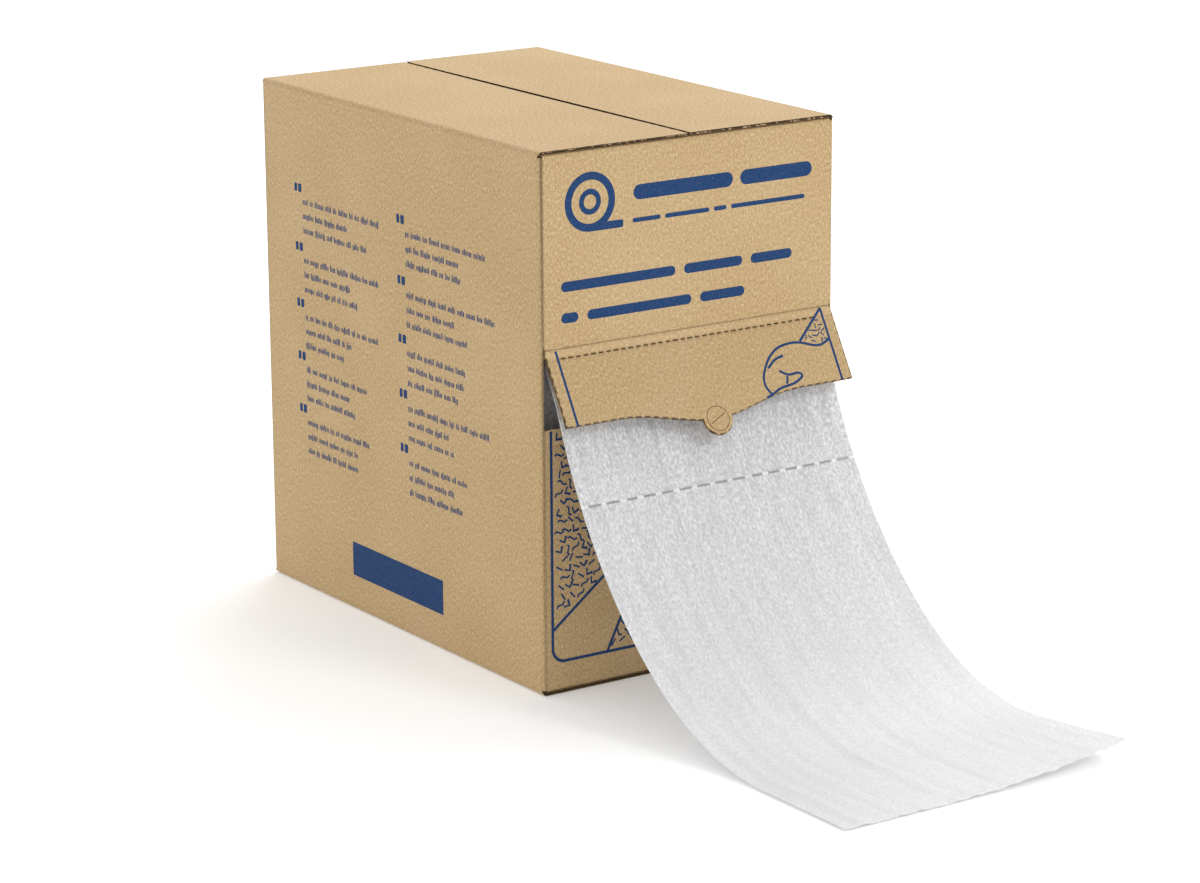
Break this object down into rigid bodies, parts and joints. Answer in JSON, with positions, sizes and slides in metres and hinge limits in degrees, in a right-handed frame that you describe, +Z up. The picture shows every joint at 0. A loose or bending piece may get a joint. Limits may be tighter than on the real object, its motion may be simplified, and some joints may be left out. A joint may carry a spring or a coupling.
{
  "type": "foam wrap roll in a dispenser carton",
  "caption": "Tall corrugated carton that holds a wound roll of perforated foam film, with a hinged dispenser flap in its front and the film's end pulled out onto the floor.",
  "frame": {"origin": "middle of the carton's base, on the surface it stands on", "axes": "+X to the right across the front, +Y to the back, +Z up; the dispenser opening faces -Y"},
  "size_m": [0.32, 0.905, 0.492],
  "materials": {
    "board": "brown kraft liner, matt",
    "film": "white closed-cell foam film, satin",
    "core": "spirally wound grey-brown board"
  },
  "bodies": {
    "carton": {"carton_body": "board", "foam_roll": "film", "roll_core": "core"},
    "left_lid": {"top_left_flap": "board"},
    "right_lid": {"top_right_flap": "board"},
    "front_flap": {"dispenser_flap": "board"}
  },
  "joints": [
    {"name": "left_lid_hinge", "type": "hinge", "parent": "carton", "child": "left_lid", "pos_m": [-0.16, 0, 0.492], "axis": [0, -1, 0], "range_deg": [0, 250]},
    {"name": "right_lid_hinge", "type": "hinge", "parent": "carton", "child": "right_lid", "pos_m": [0.16, 0, 0.492], "axis": [0, 1, 0], "range_deg": [0, 250]},
    {"name": "front_flap_hinge", "type": "hinge", "parent": "carton", "child": "front_flap", "pos_m": [0, -0.24, 0.316], "axis": [-1, 0, 0], "range_deg": [-10, 140]}
  ]
}
